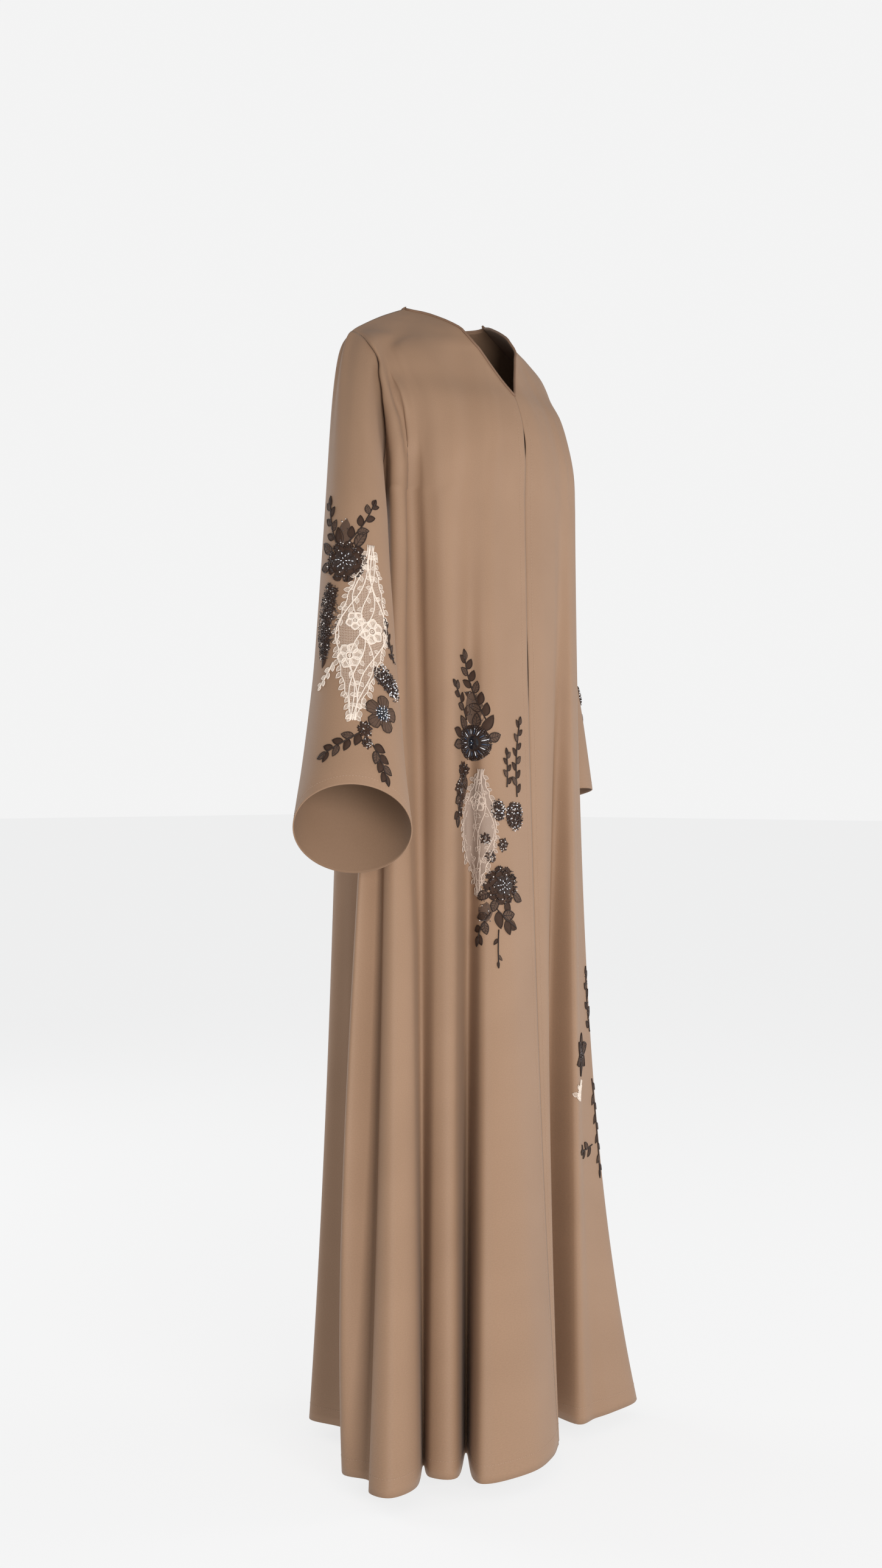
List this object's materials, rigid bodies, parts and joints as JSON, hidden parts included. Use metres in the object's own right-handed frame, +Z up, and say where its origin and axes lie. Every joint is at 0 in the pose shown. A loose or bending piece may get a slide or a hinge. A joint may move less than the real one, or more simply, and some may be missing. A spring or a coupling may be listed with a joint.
{
  "type": "abaya cloak",
  "caption": "Full-length open-front abaya with bell sleeves, a V neck and floral lace and bead applique, in its worn, hollow form.",
  "frame": {"origin": "midway between the two neck points, at shoulder height, where the wearer's shoulders hold the garment up", "axes": "+Z up, +X to the wearer's left, -Y the way the front faces"},
  "size_m": [0.68, 0.4093, 1.4102],
  "materials": {
    "crepe": "satin-backed crepe with a soft sheen",
    "binding": "matt self binding",
    "embroidery": "dark thread embroidery with beads",
    "lace": "pale corded lace"
  },
  "bodies": {
    "root": {"front_right": "crepe", "back": "crepe", "front_left": "crepe", "sleeve_right": "crepe", "sleeve_left": "crepe", "neck_binding": "binding", "sleeve_right_top_sprig": "embroidery", "sleeve_left_top_sprig": "embroidery", "sleeve_right_crown_sprig": "embroidery", "sleeve_left_crown_sprig": "embroidery", "sleeve_right_beaded_spray": "embroidery", "sleeve_left_beaded_spray": "embroidery", "sleeve_right_lace_sprig": "lace", "sleeve_left_lace_sprig": "lace", "sleeve_right_side_stem": "embroidery", "sleeve_left_side_stem": "embroidery", "sleeve_right_cuff_branch": "embroidery", "sleeve_left_cuff_branch": "embroidery", "sleeve_right_cuff_spray": "embroidery", "sleeve_left_cuff_spray": "embroidery", "front_right_tall_spray": "embroidery", "front_right_side_sprig": "embroidery", "front_right_drop_spray": "embroidery", "front_right_edge_spray": "embroidery", "front_right_inner_sprig": "embroidery", "front_right_flower_leaves": "embroidery", "front_right_low_branch": "embroidery", "front_right_tail_stem": "embroidery", "front_left_high_sprig": "embroidery", "front_left_long_stem": "embroidery", "front_left_low_spray": "embroidery", "sleeve_right_large_flower": "embroidery", "sleeve_left_large_flower": "embroidery", "sleeve_right_bead_cluster": "embroidery", "sleeve_left_bead_cluster": "embroidery", "sleeve_right_small_flower": "embroidery", "sleeve_left_small_flower": "embroidery", "front_right_ring_flower": "embroidery", "front_right_bead_cluster": "embroidery", "front_right_bead_knot": "embroidery", "front_right_low_flower": "embroidery", "front_left_leaf_cluster": "embroidery", "sleeve_right_lace": "lace", "sleeve_left_lace": "lace", "front_right_lace": "lace", "front_left_lace": "lace"}
  },
  "joints": []
}
